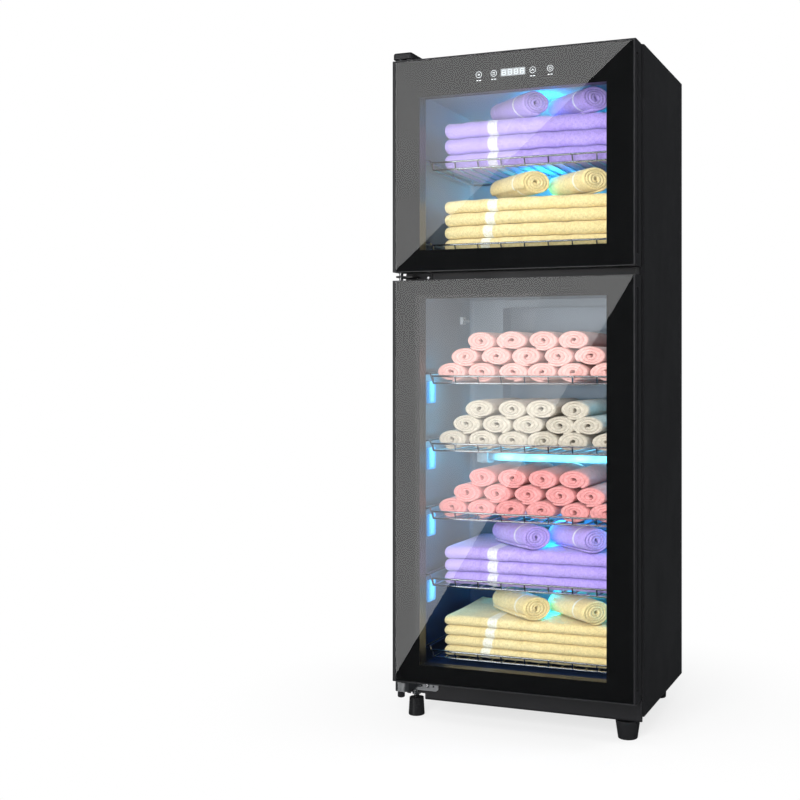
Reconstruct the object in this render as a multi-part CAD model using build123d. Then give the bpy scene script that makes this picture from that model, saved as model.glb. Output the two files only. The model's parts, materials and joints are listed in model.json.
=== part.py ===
from build123d import *
import os

# Hot towel cabinet with two hinged glass doors, in millimetres.
# X runs to the right, Y runs to the back and Z runs up; the floor is Z = 0.
# Depths are counted back from the front of the door glass, and at() turns them into Y.

WIDTH, DEPTH = 480.0, 407.0
BODY_TOP, BODY_BOTTOM = 1277.0, 44.0
BODY_FRONT, BODY_BACK = 57.0, 396.0
SHEET = 1.0
GAP = 0.3

LOWER_GLASS, UPPER_GLASS = (82.0, 850.0), (868.0, 1270.0)
GLASS_SIDES, GLASS_THICK = (-233.0, 236.0), 4.0
WINDOW_SIDES, LOWER_WINDOW, UPPER_WINDOW = (-184.0, 185.0), (116.0, 815.0), (908.0, 1200.0)
WINDOW_MARGIN = 4.0
DOOR_THICK = 42.0
LIP = 1.0
UPPER_DOOR = (UPPER_GLASS[0] - LIP, UPPER_GLASS[1] + 2.5)
LOWER_DOOR = (LOWER_GLASS[0] - LIP, LOWER_GLASS[1] + LIP)
GASKET_HALF, GASKET_WIDE, GASKET_INSET = 227.5, 14.0, 9.0

PIN_X, PIN_DEPTH, PIN_D, PIN_REACH, PIN_FIT = -229.0, 18.0, 8.0, 15.0, 0.08
EYE_D = 20.0

INNER_HALF, INNER_BACK, LINER_WALL = 218.0, 350.0, 2.0
LOWER_INNER, UPPER_INNER = (98.0, 830.0), (896.0, 1226.0)
FLANGE_HALF = 226.0

TRAY_FLOORS = {
    "upper_tray_1": 1074.0, "upper_tray_2": 911.0, "lower_tray_1": 653.0, "lower_tray_2": 520.0,
    "lower_tray_3": 386.0, "lower_tray_4": 254.0, "lower_tray_5": 112.0,
}
TRAY_HALF, TRAY_FRONT, TRAY_BACK = 192.0, 88.0, 303.0
RAIL_D, WIRE_D = 4.0, 3.0
FRONT_RISE, SIDE_RISE, SIDE_RAIL_X, HOOK_RUN = 14.0, 20.0, 209.5, 7.5
WIRE_PITCH = 48.0
LEDGE_WIDE = 14.0

TOWEL_DEPTHS = (97.0, 299.0)
ROLL_WIDE, ROLL_HIGH, ROLL_ROWS = 61.0, 40.0, (6, 5, 4)
ROLL_FLAT, ROLL_SIDE, ROLL_ROUND = 18.0, 7.0, 5.0
ROLL_PITCH, ROLL_LIFT = 63.5, 30.6
FOLD_HALF, FOLD_ROUND = 174.0, 9.0
TOP_ROLL = (56.0, 50.0, 125.0)
TOP_ROLL_TURN, TOP_ROLL_PLACES = 60.0, (-29.5, 88.5)
FOLDED = {
    "upper_tray_1": (3, 31.0), "upper_tray_2": (4, 25.5), "lower_tray_4": (3, 25.0), "lower_tray_5": (4, 20.0),
}

DUCT_BASE, DUCT_FACE, DUCT_DEEP = 142.0, 119.0, 15.0
TUBE_D, TUBE_DEPTH = 16.0, 322.0
LAMP_LEVELS = (492.0, 1110.0)
HOLDER_X, HOLDER_HIGH = (163.0, 199.0), 28.0
FAN_AT, FAN_SIZE, FAN_DEEP, FAN_BORE = (0.0, 250.0), 96.0, 25.0, 88.0
CUTOUT_AT = (100.0, 640.0)
FOOT_X, FOOT_DEPTH, FOOT_TOP = (-221.0, 207.0), 72.0, 43.0

CENTRE_MIN = (Align.CENTER, Align.CENTER, Align.MIN)


def at(depth):
    """The Y of a depth behind the front of the door glass."""
    return depth - DEPTH / 2


def block(x, depth, z):
    """A box from three (low, high) pairs."""
    size = [high - low for low, high in (x, depth, z)]
    middle = [(low + high) / 2 for low, high in (x, depth, z)]
    return Pos(middle[0], at(middle[1]), middle[2]) * Box(*size)


def rod(start, end, diameter):
    """A round bar between two (x, depth, z) points."""
    a, b = (Vector(x, at(depth), z) for x, depth, z in (start, end))
    return Plane(origin=a, z_dir=b - a) * Cylinder(diameter / 2, (b - a).length, align=CENTRE_MIN)


def ball(point, diameter):
    return Pos(point[0], at(point[1]), point[2]) * Sphere(diameter / 2)


def fuse(pieces):
    """One solid from overlapping pieces."""
    first, *rest = pieces
    return first.fuse(*rest) if rest else first


def save(name, pieces):
    """Writes one node, as a solid or as a group of separate solids."""
    shape = pieces if not isinstance(pieces, list) else Compound(children=[s for p in pieces for s in p.solids()])
    export_step(shape, f"parts/{name}.step")


def side_panel(side):
    """A sheet side with a rounded front edge, turned in at the front and the back."""
    edge, turn, radius = side * WIDTH / 2, side * -(WIDTH / 2 - FLANGE_HALF - GAP), 7.0
    outside = Polyline(
        (edge + turn, at(BODY_FRONT)), (edge - side * radius, at(BODY_FRONT)), (edge, at(BODY_FRONT + radius)),
        (edge, at(BODY_BACK)), (edge + turn, at(BODY_BACK)), (edge + turn, at(BODY_BACK) - SHEET),
        (edge - side * SHEET, at(BODY_BACK) - SHEET), (edge - side * SHEET, at(BODY_FRONT + radius)),
        (edge - side * radius, at(BODY_FRONT) + SHEET), (edge + turn, at(BODY_FRONT) + SHEET), close=True)
    panel = extrude(Plane.XY.offset(BODY_BOTTOM) * make_face(outside), BODY_TOP - BODY_BOTTOM)
    corners = panel.edges().filter_by(Axis.Z).sort_by_distance((edge, at(BODY_FRONT), (BODY_TOP + BODY_BOTTOM) / 2))
    return fillet(corners[:2], 3.4)


def top_panel():
    inside = WIDTH / 2 - SHEET - 0.1
    lid = block((-inside, inside), (BODY_FRONT + 8, BODY_BACK - SHEET - 0.1), (BODY_TOP - SHEET, BODY_TOP))
    lip = block((-FLANGE_HALF, FLANGE_HALF), (BODY_FRONT, BODY_FRONT + SHEET), (UPPER_INNER[1] + 38, BODY_TOP))
    nose = block((-FLANGE_HALF, FLANGE_HALF), (BODY_FRONT, BODY_FRONT + 9), (BODY_TOP - SHEET, BODY_TOP))
    return fuse([lid, lip, nose])


def back_panel():
    """The flat back sheet, with the hole that the fan motor's wires and air pass through."""
    inside = WIDTH / 2 - 14.5
    sheet = block((-inside, inside), (BODY_BACK - SHEET, BODY_BACK), (BODY_BOTTOM + 2, BODY_TOP - SHEET - GAP))
    hole = rod((FAN_AT[0], BODY_BACK - 5, FAN_AT[1]), (FAN_AT[0], BODY_BACK + 5, FAN_AT[1]), 60)
    return sheet.cut(hole, block((-24.5, 24.5), (BODY_BACK - 5, BODY_BACK + 5), (75, 97)))


def rear_cover():
    """A shallow sheet pan over the back, with two columns of louvre slots."""
    half, low, high = 226.0, 46.0, 1230.0
    outer = block((-half, half), (BODY_BACK + 0.1, DEPTH), (low, high))
    outer = chamfer(outer.faces().sort_by(Axis.Y)[-1].edges(), 6)
    inner = block((-half + 8, half - 8), (BODY_BACK - 1, DEPTH - 1.2), (low + 8, high - 8))
    slots = [block((x - 55, x + 55), (BODY_BACK, DEPTH + 1), (z, z + 5))
             for x in (-110, 110) for z in [150 + 16 * i for i in range(9)] + [980 + 16 * i for i in range(9)]]
    inlet = block((-29, 29), (BODY_BACK, DEPTH + 1), (74, 98))
    return outer.cut(inner, inlet, *slots)


def base_pan():
    """The pressed floor sheet with its turned-down rim."""
    inside = WIDTH / 2 - SHEET - 0.1
    outer = block((-inside, inside), (BODY_FRONT + 8, BODY_BACK - 1.1), (BODY_BOTTOM + 0.5, BODY_BOTTOM + 18))
    inner = block((-inside + 1.5, inside - 1.5), (BODY_FRONT + 9.5, BODY_BACK - 2.6), (0, BODY_BOTTOM + 16.5))
    return outer - inner


def plinth_strip():
    """The kick strip under the lower door, to the right of the bottom hinge."""
    strip = block((-192, 238.5), (48, BODY_FRONT - 0.2), (37, 79))
    strip = fillet(strip.edges().filter_by(Axis.X).sort_by(Axis.Y)[:2], 5)
    hollow = block((-189, 235.5), (51, BODY_FRONT + 9), (0, 76))
    return strip - hollow


def liner(inner):
    """An open-fronted well with a flange round its mouth and a hole for the fan in the lower one."""
    low, high = inner
    flange_low, flange_high = (84.0, 836.0) if low < 500 else (884.0, UPPER_INNER[1] + 37.5)
    wall = LINER_WALL
    well = block((-INNER_HALF - wall, INNER_HALF + wall), (BODY_FRONT, INNER_BACK + wall), (low - wall, high + wall))
    flange = block((-FLANGE_HALF, FLANGE_HALF), (BODY_FRONT, BODY_FRONT + wall), (flange_low, flange_high))
    hollow = block((-INNER_HALF, INNER_HALF), (BODY_FRONT - 5, INNER_BACK), (low, high))
    shell = well + flange - hollow
    back_edges = shell.edges().filter_by(Axis.Z).filter_by_position(Axis.Y, at(INNER_BACK) - 0.1, at(INNER_BACK) + 0.1)
    shell = fillet(back_edges, 9)
    if low < 500:
        shell -= rod((FAN_AT[0], INNER_BACK - 5, FAN_AT[1]), (FAN_AT[0], INNER_BACK + 5, FAN_AT[1]), FAN_BORE)
    return shell


def mullion():
    return block((-FLANGE_HALF, FLANGE_HALF), (BODY_FRONT, BODY_FRONT + 16), (836.3, 883.7))


def insulation():
    """Foam slabs between the liners and the sheet panels."""
    behind, front = (INNER_BACK + 2.5, BODY_BACK - 16), BODY_FRONT + 17
    sides = [block(x, (front, behind[1]), (98, 1262)) for x in ((-238.5, -220.5), (220.5, 238.5))]
    lamp_box = block((-219, 219), (BODY_FRONT + 17, INNER_BACK), (833, 893))
    roof = block((-219, 219), (front, INNER_BACK), (1229, 1262))
    backs = [block((-219, 219), behind, z) for z in ((320, 830), (900, 1226))]
    cutout_pocket = rod((CUTOUT_AT[0], INNER_BACK, CUTOUT_AT[1]), (CUTOUT_AT[0], INNER_BACK + 14, CUTOUT_AT[1]), 18)
    return [*sides, lamp_box, roof, backs[0] - cutout_pocket, backs[1]]


def tray_ledges():
    """An angle strip on each side wall for every tray."""
    strips = []
    for floor in TRAY_FLOORS.values():
        top = floor + SIDE_RISE - RAIL_D / 2 - GAP
        for side in (-1, 1):
            wall = side * INNER_HALF
            lip = block(sorted((wall, wall - side * LEDGE_WIDE)), (62, 330), (top - 2, top))
            leg = block(sorted((wall, wall - side * 1.6)), (62, 330), (max(top - 14, 99), top))
            strips.append(lip + leg)
    return strips


def wire_tray():
    """A plated wire tray with its floor at Z = 0: side rails on hooks above the floor, two front rails
    and wires that bend up from the floor to the upper front rail."""
    half, front, back = TRAY_HALF, TRAY_FRONT, TRAY_BACK
    upper_front = (front - 5, FRONT_RISE)
    corners = [(-half, front, 0), (half, front, 0), (half, back, 0), (-half, back, 0)]
    pieces = [rod(a, b, RAIL_D) for a, b in zip(corners, corners[1:] + corners[:1])]
    pieces += [ball(c, RAIL_D) for c in corners]
    pieces.append(rod((-half, *upper_front), (half, *upper_front), RAIL_D))
    pieces += [ball((x, *upper_front), RAIL_D) for x in (-half, half)]
    count = int(2 * half // WIRE_PITCH)
    for i in range(count + 1):
        x = (i - count / 2) * WIRE_PITCH
        pieces.append(rod((x, front - 0.5, 0.4), (x, back, 0.4), WIRE_D))
        if abs(x) < half - 1:
            pieces.append(ball((x, front - 0.5, 0.4), WIRE_D))
            pieces.append(rod((x, front - 0.5, 0.4), (x, *upper_front), WIRE_D))
        if i < count:
            pieces.append(rod((x + WIRE_PITCH / 2, front, 0.4), (x + WIRE_PITCH / 2, back, 0.4), WIRE_D))
    for side in (-1, 1):
        rail = [(side * SIDE_RAIL_X, depth, SIDE_RISE) for depth in (front - 5, back)]
        pieces.append(rod(*rail, RAIL_D))
        pieces += [ball(end, RAIL_D) for end in rail]
        for depth in (front, (front + back) / 2, back):
            bend = (side * (half + HOOK_RUN), depth, SIDE_RISE)
            pieces += [rod((side * half, depth, 0), bend, WIRE_D), ball(bend, WIRE_D)]
            pieces.append(rod(bend, (side * SIDE_RAIL_X, depth, SIDE_RISE), WIRE_D))
        pieces.append(rod((side * half, *upper_front), (side * half, front, 0), RAIL_D))
    return fuse(pieces)


def oval_bar(centre, wide, high, long, turn=0.0):
    """An oval roll lying on its side, its axis along Y before it is turned about Z."""
    bar = extrude(Ellipse(wide / 2, high / 2), long / 2, both=True)
    return Pos(centre[0], at(centre[1]), centre[2]) * Rot(0, 0, turn) * Rot(90, 0, 0) * bar


def pressed_bar(centre, long):
    """A roll pressed into the hollows of its neighbours: eight sides with rounded corners."""
    half, high, flat, side = ROLL_WIDE / 2, ROLL_HIGH / 2, ROLL_FLAT / 2, ROLL_SIDE / 2
    quarter = [(half, side), (flat, high)]
    outline = quarter + [(-x, z) for x, z in quarter[::-1]]
    outline += [(-x, -z) for x, z in outline]
    section = make_face(Polyline(*outline, close=True))
    bar = extrude(section, long / 2, both=True)
    bar = fillet(bar.edges().filter_by(Axis.Z), ROLL_ROUND)
    return Pos(centre[0], at(centre[1]), centre[2]) * Rot(90, 0, 0) * bar


def rolled_load(floor):
    """Rolled towels in rows, each row lying in the hollows of the row below."""
    rest = floor + WIRE_D / 2 + 0.7 + ROLL_HIGH / 2
    long, middle = TOWEL_DEPTHS[1] - TOWEL_DEPTHS[0], sum(TOWEL_DEPTHS) / 2
    return [pressed_bar(((i - (count - 1) / 2) * ROLL_PITCH, middle, rest + row * ROLL_LIFT), long)
            for row, count in enumerate(ROLL_ROWS) for i in range(count)]


def folded_load(floor, layers, thick):
    """Folded towels in a stack with two rolled ones lying on top."""
    rest = floor + RAIL_D / 2 + 0.5
    pieces = []
    for i in range(layers):
        slab = block((-FOLD_HALF, FOLD_HALF), TOWEL_DEPTHS, (rest + i * thick, rest + (i + 1) * thick - 0.4))
        pieces.append(fillet(slab.edges().filter_by(Axis.Y), FOLD_ROUND))
    wide, high, long = TOP_ROLL
    top = rest + layers * thick + high / 2
    pieces += [oval_bar((x, 142, top), wide, high, long, TOP_ROLL_TURN) for x in TOP_ROLL_PLACES]
    return pieces


def air_duct():
    """The raised panel with sloping sides up the middle of the back wall, with rows of air slots."""
    low, high = 112.0, 812.0
    section = Polyline((-DUCT_BASE, at(INNER_BACK - 0.1)), (-DUCT_FACE, at(INNER_BACK - DUCT_DEEP)),
                       (DUCT_FACE, at(INNER_BACK - DUCT_DEEP)), (DUCT_BASE, at(INNER_BACK - 0.1)), close=True)
    inside = Polyline((-DUCT_BASE + 3, at(INNER_BACK + 1)), (-DUCT_FACE + 1, at(INNER_BACK - DUCT_DEEP + 1.5)),
                      (DUCT_FACE - 1, at(INNER_BACK - DUCT_DEEP + 1.5)), (DUCT_BASE - 3, at(INNER_BACK + 1)), close=True)
    panel = extrude(Plane.XY.offset(low) * make_face(section), high - low)
    hollow = extrude(Plane.XY.offset(low + 2) * make_face(inside), high - low - 4)
    slots = [block((x - 18, x + 18), (INNER_BACK - DUCT_DEEP - 2, INNER_BACK - DUCT_DEEP + 3), (z, z + 5))
             for x in (-84, -28, 28, 84) for z in (160, 176, 340, 356, 560, 576, 740, 756)]
    return panel.cut(hollow, *slots)


def fan_housing():
    """A square axial fan frame whose back struts hold the motor."""
    x, z = FAN_AT
    near, far = INNER_BACK + LINER_WALL + GAP, INNER_BACK + LINER_WALL + GAP + FAN_DEEP
    frame = block((x - FAN_SIZE / 2, x + FAN_SIZE / 2), (near, far), (z - FAN_SIZE / 2, z + FAN_SIZE / 2))
    frame = fillet(frame.edges().filter_by(Axis.Y), 6) - rod((x, near - 1, z), (x, far + 1, z), FAN_BORE)
    motor = rod((x, far - 8, z), (x, far, z), 34)
    struts = [Pos(x, at(far - 1.5), z) * Rot(0, 45 + 90 * i, 0) * Pos(30, 0, 0) * Box(32, 3, 4) for i in range(4)]
    stub = rod((x, near + 3, z), (x, far - 7, z), 5)
    return fuse([frame, motor, *struts, stub])


def fan_rotor():
    """A hub with seven pitched blades on the motor's stub shaft."""
    x, z = FAN_AT
    near, far = INNER_BACK + LINER_WALL + GAP + 2, INNER_BACK + LINER_WALL + GAP + FAN_DEEP - 8.6
    hub = rod((x, near, z), (x, far, z), 36)
    blade_at = Pos(x, at((near + far) / 2), z)
    blades = [blade_at * Rot(0, 360 / 7 * i, 0) * Pos(29, 0, 0) * Rot(35, 0, 0) * Box(26, 1.6, 15) for i in range(7)]
    return fuse([hub, *blades]) - rod((x, near + 0.8, z), (x, far + 1, z), 5 + 2 * PIN_FIT)


def heating_element():
    """A sheathed heating rod bent to and fro inside the air duct."""
    depth, reach, pitch, runs = INNER_BACK - 7.0, 84.0, 26.0, 4
    points = []
    for i in range(runs):
        ends = (-reach, reach) if i % 2 == 0 else (reach, -reach)
        points += [(x, at(depth), 610 + i * pitch) for x in ends]
    path = FilletPolyline(*points, radius=pitch / 2 - 1)
    return sweep(Plane(origin=path @ 0, z_dir=path % 0) * Circle(3.25), path=path)


def lamp_holder(side, level):
    """A lamp end block: a socket in front and a screwed foot on the wall."""
    near, far = (side * v for v in HOLDER_X)
    half = HOLDER_HIGH / 2
    socket = block(sorted((near, near + side * 16)), (TUBE_DEPTH - 13, INNER_BACK - 0.2), (level - half, level + half))
    socket = fillet(socket.edges().filter_by(Axis.X).sort_by(Axis.Y)[:2], 9)
    foot = block(sorted((near + side * 14, far)), (INNER_BACK - 9, INNER_BACK - 0.2), (level - half, level + half))
    hole = rod((side * 190, INNER_BACK - 20, level), (side * 190, INNER_BACK + 1, level), 5)
    mouth = rod((near - side, TUBE_DEPTH, level), (near + side * 8.5, TUBE_DEPTH, level), TUBE_D + 0.3)
    return socket + foot - hole - mouth


def uv_tube(level):
    reach = HOLDER_X[0] + 8
    return rod((-reach, TUBE_DEPTH, level), (reach, TUBE_DEPTH, level), TUBE_D)


def led_modules():
    """Potted lamp modules on the side walls under the lower trays and on the back above the folded towels."""
    modules = []
    for name in ("lower_tray_1", "lower_tray_2", "lower_tray_3", "lower_tray_4"):
        top = TRAY_FLOORS[name] + 3
        for side in (-1, 1):
            x = sorted((side * INNER_HALF, side * (INNER_HALF - 5)))
            modules.append(block(x, (112, 148), (top - 44, top)))
    for name, (layers, thick) in FOLDED.items():
        low = TRAY_FLOORS[name] + layers * thick - 4
        wall = INNER_BACK - (DUCT_DEEP + 0.1 if name.startswith("lower") else 0.1)
        modules.append(block((-22, 22), (wall - 5, wall), (low, low + 36)))
    return modules


def door_frame(door, glass, window):
    """The moulded surround behind the glass: stiles and rails with a shallow groove down the right edge."""
    low, high = door
    half = WIDTH / 2
    frame = block((-half, half), (0.4, DOOR_THICK), (low, high))
    frame = fillet(frame.edges().filter_by(Axis.Z).sort_by(Axis.Y)[:2], 2.5)
    frame = fillet(frame.edges().filter_by(Axis.Z).sort_by(Axis.Y)[-2:], 4)
    frame -= block(GLASS_SIDES, (-1, GLASS_THICK + 0.2), glass)
    margin = WINDOW_MARGIN
    frame -= block((WINDOW_SIDES[0] - margin, WINDOW_SIDES[1] + margin), (-5, DOOR_THICK + 5),
                   (window[0] - margin, window[1] + margin))
    frame -= rod((half + 8, 15.5, low + 22), (half + 8, 15.5, high - 22), 23)
    for start, end in ((low - 1, low + PIN_REACH + 0.5), (high - PIN_REACH - 0.5, high + 1)):
        frame -= rod((PIN_X, PIN_DEPTH, start), (PIN_X, PIN_DEPTH, end), PIN_D + 2 * PIN_FIT)
    return frame


def key_pocket():
    """The pocket in the upper door's top rail that the key board and the display sit in."""
    return block((-86, 102), (GLASS_THICK, 11.2), (1212, 1252))


def door_glass(glass):
    sides = (GLASS_SIDES[0] + 0.1, GLASS_SIDES[1] - 0.1)
    pane = block(sides, (0, GLASS_THICK), (glass[0] + 0.1, glass[1] - 0.1))
    return chamfer(pane.faces().sort_by(Axis.Y)[0].edges(), 0.5)


def ring(half, wide, depth, z):
    """A rectangular ring of the given width, seen from the front."""
    outer = block((-half, half), depth, z)
    return outer - block((-half + wide, half - wide), (depth[0] - 1, depth[1] + 1), (z[0] + wide, z[1] - wide))


def door_gasket(door):
    """A bellows seal: a foot on the door, a narrow neck and a magnetic bulb that meets the body."""
    z = (door[0] + GASKET_INSET, door[1] - GASKET_INSET)
    neck_z = (z[0] + 2.5, z[1] - 2.5)
    foot = ring(GASKET_HALF, GASKET_WIDE, (DOOR_THICK, DOOR_THICK + 4.5), z)
    neck = ring(GASKET_HALF - 2.5, GASKET_WIDE - 5, (DOOR_THICK + 4, DOOR_THICK + 8.5), neck_z)
    bulb = ring(GASKET_HALF, GASKET_WIDE, (DOOR_THICK + 8, BODY_FRONT - GAP), z)
    return fuse([foot, neck, bulb])


def touch_board():
    """The key board behind the upper border, with a sprung pad for each of its four keys."""
    board = block((-84, 100), (9.2, 10.8), (1214, 1250))
    pads = [rod((x, GLASS_THICK + 0.5, 1233), (x, 9.4, 1233), 14) for x in (-62.5, -32.4, 44.4, 78.2)]
    return fuse([board, *pads])


def digit_display():
    return block((-18.5, 29.7), (GLASS_THICK + 0.5, 9.0), (1226, 1240))


def hinge_pin(low, high):
    """A plain round hinge pin."""
    return rod((PIN_X, PIN_DEPTH, low), (PIN_X, PIN_DEPTH, high), PIN_D)


def eye(low, high):
    """The round end of a hinge plate, with the hole for its pin."""
    return rod((PIN_X, PIN_DEPTH, low), (PIN_X, PIN_DEPTH, high), EYE_D)


def top_hinge_plate():
    """The strap bolted to the top panel that carries the upper pin."""
    low, high = BODY_TOP + 0.2, BODY_TOP + 3.2
    strap = block((-239, -205), (PIN_DEPTH, 96), (low, high))
    strap = fillet(strap.edges().filter_by(Axis.Z).sort_by(Axis.Y)[-2:], 8)
    plate = strap + eye(low, high)
    return plate - rod((PIN_X, PIN_DEPTH, low - 1), (PIN_X, PIN_DEPTH, high + 1), PIN_D)


def top_hinge_cover():
    """A rounded cap over the top hinge, open underneath."""
    x, depth, z = (-240, -200), (3, 106), (BODY_TOP + 0.2, 1289)
    outer = block(x, depth, z)
    outer = fillet(outer.edges().filter_by(Axis.Z), 6)
    outer = fillet(outer.faces().sort_by(Axis.Z)[-1].edges(), 4)
    inner = block((x[0] + 0.6, x[1] - 1.6), (depth[0] + 1.6, depth[1] - 1.6), (0, z[1] - 1.8))
    return outer - fillet(inner.edges().filter_by(Axis.Z), 4.4)


def middle_hinge_bracket():
    """A plate between the doors: an eye for the double pin and a flange screwed to the mullion."""
    flange = block((-236, -180), (BODY_FRONT - 2.8, BODY_FRONT - 0.1), (852, 866))
    flange = fillet(flange.edges().filter_by(Axis.Y), 2.5)
    arm = block((-238.5, -206), (PIN_DEPTH, BODY_FRONT - 0.4), (857.5, 860.5))
    plate = fuse([flange, arm, eye(857.5, 860.5)])
    return plate - rod((PIN_X, PIN_DEPTH, 850), (PIN_X, PIN_DEPTH, 868), PIN_D)


def bottom_hinge_bracket():
    """A plated steel channel: a top plate with turned-down edges and a long flange with screw holes."""
    flange = block((-239, -163), (44.8, 47.8), (56, 77))
    flange = fillet(flange.edges().filter_by(Axis.Y).sort_by(Axis.X)[-2:], 7)
    outer = block((-239.5, -210), (8, 47.6), (60, 77))
    outer = fillet(outer.edges().filter_by(Axis.Z).sort_by(Axis.Y)[:2], 8)
    inner = block((-236.5, -213), (11, 44.9), (0, 74))
    inner = fillet(inner.edges().filter_by(Axis.Z).sort_by(Axis.Y)[:2], 5)
    foot = block((-225, -193.5), (44.8, 92), (74, 77))
    plate = fuse([flange, outer - inner, foot])
    holes = [rod((x, 40, 65), (x, 52, 65), 4.2) for x in (-198, -173)]
    return plate.cut(rod((PIN_X, PIN_DEPTH, 50), (PIN_X, PIN_DEPTH, 80), PIN_D), *holes)


def bottom_pin_nut():
    """The capped nut under the bottom hinge plate."""
    cap = rod((PIN_X, PIN_DEPTH, 47), (PIN_X, PIN_DEPTH, 73.7), 14)
    cap = fillet(cap.edges().sort_by(Axis.Z)[0], 2.5)
    return cap - rod((PIN_X, PIN_DEPTH, 50), (PIN_X, PIN_DEPTH, 80), PIN_D)


def pan_screw(point, direction, head=9.0, long=10.0):
    """A cross-recessed pan-head screw whose head stands off the point along the direction."""
    plane = Plane(origin=(point[0], at(point[1]), point[2]), z_dir=direction)
    cap = fillet(Cylinder(head / 2, 2.6, align=CENTRE_MIN).edges().sort_by(Axis.Z)[-1], 1.6)
    shank = Pos(0, 0, -long) * Cylinder(1.9, long + 0.5, align=CENTRE_MIN)
    slots = [Pos(0, 0, 2.3) * Box(4.4, 1.0, 1.8), Pos(0, 0, 2.3) * Box(1.0, 4.4, 1.8)]
    return plane * (cap + shank).cut(*slots)


def hinge_screws():
    top = [pan_screw((x, depth, BODY_TOP + 3.2), (0, 0, 1), 8.0) for x, depth in ((-214, 68), (-228, 68), (-214, 88))]
    middle = [pan_screw((x, BODY_FRONT - 2.8, 859), (0, -1, 0), 7.5) for x in (-211, -187)]
    bottom = [pan_screw((-185.5, 44.8, 66), (0, -1, 0), 8.0)]
    return top + middle + bottom


def pierce(plate, screws):
    """Cuts the screws' shanks out of a plate."""
    return plate.cut(*screws)


def front_foot(x, top_d, bottom_d, ribs):
    """A levelling foot on a threaded stem."""
    depth, high = FOOT_DEPTH, 34.0
    shape = Pos(x, at(depth), 0) * Cone(bottom_d / 2, top_d / 2, high, align=CENTRE_MIN)
    shape = fillet(shape.edges().sort_by(Axis.Z)[0], 2)
    grooves = [Pos(x, at(depth), 7 + 5 * i) * Torus(bottom_d / 2 + 1.2 + i * (top_d - bottom_d) / 14, 1.9)
               for i in range(ribs)]
    stem = rod((x, depth, high - 1), (x, depth, FOOT_TOP + 22), 10)
    return (shape.cut(*grooves) if ribs else shape) + stem


def foot_socket(x):
    """The threaded socket in the base that a levelling foot screws into."""
    bar = rod((x, FOOT_DEPTH, BODY_BOTTOM - 3), (x, FOOT_DEPTH, BODY_BOTTOM + 16.3), 17)
    return bar - rod((x, FOOT_DEPTH, 0), (x, FOOT_DEPTH, 90), 10 + 2 * PIN_FIT)


def rear_feet():
    feet = []
    for x in (-200, 200):
        foot = Pos(x, at(360), 0) * Cone(14, 17, BODY_BOTTOM + 16.3, align=CENTRE_MIN)
        feet.append(fillet(foot.edges().sort_by(Axis.Z)[0], 2))
    return feet


def lamp_ballasts():
    """The two lamp drivers in the space behind the liners."""
    return [block((x, x + 110), (BODY_BACK - 15.5, BODY_BACK - 1.5), (z, z + 30)) for x, z in ((60, 480), (60, 1030))]


def control_board():
    """The relay board with its terminal blocks, low down behind the lower liner."""
    board = block((-200, -80), (384, 385.6), (110, 190))
    parts = [block((-195 + 28 * i, -175 + 28 * i), (370, 384.2), (118, 140)) for i in range(4)]
    relays = [block((-192 + 38 * i, -164 + 38 * i), (368, 384.2), (155, 182)) for i in range(3)]
    posts = [rod((x, 385, z), (x, BODY_BACK - SHEET - 0.1, z), 5) for x in (-195, -85) for z in (114, 186)]
    return fuse([board, *parts, *relays, *posts])


def power_inlet():
    """A three-pin mains inlet in the rear cover."""
    body = block((-24, 24), (386, DEPTH - 0.2), (75.5, 96.5))
    cavity = block((-12.5, 12.5), (390, DEPTH + 1), (78.5, 93.5))
    pins = [block((x - 1, x + 1), (389, 402), (z - 2, z + 2)) for x, z in ((-7, 84), (0, 88), (7, 84))]
    return fuse([body - cavity, *pins])


def thermal_cutout():
    """A bimetal disc cut-out strapped to the back of the liner behind the heating rod."""
    x, z = CUTOUT_AT
    return rod((x, INNER_BACK + 2.2, z), (x, INNER_BACK + 11.4, z), 16)


def temperature_sensor():
    """A probe in a clip on the left wall near the top of the lower compartment."""
    clip = block((-INNER_HALF + 0.1, -INNER_HALF + 6), (290, 306), (776, 792))
    return clip + rod((-INNER_HALF + 9, 280, 784), (-INNER_HALF + 9, 316, 784), 6) + block(
        (-INNER_HALF + 5, -INNER_HALF + 9), (294, 302), (781, 787))


def cover_screws():
    """The screws round the rim of the rear cover."""
    return [pan_screw((x, DEPTH - 3.4, z), (0, 1, 0), 7.0, 9.0) for x in (-216, 216) for z in (70, 440, 830, 1216)]


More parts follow.
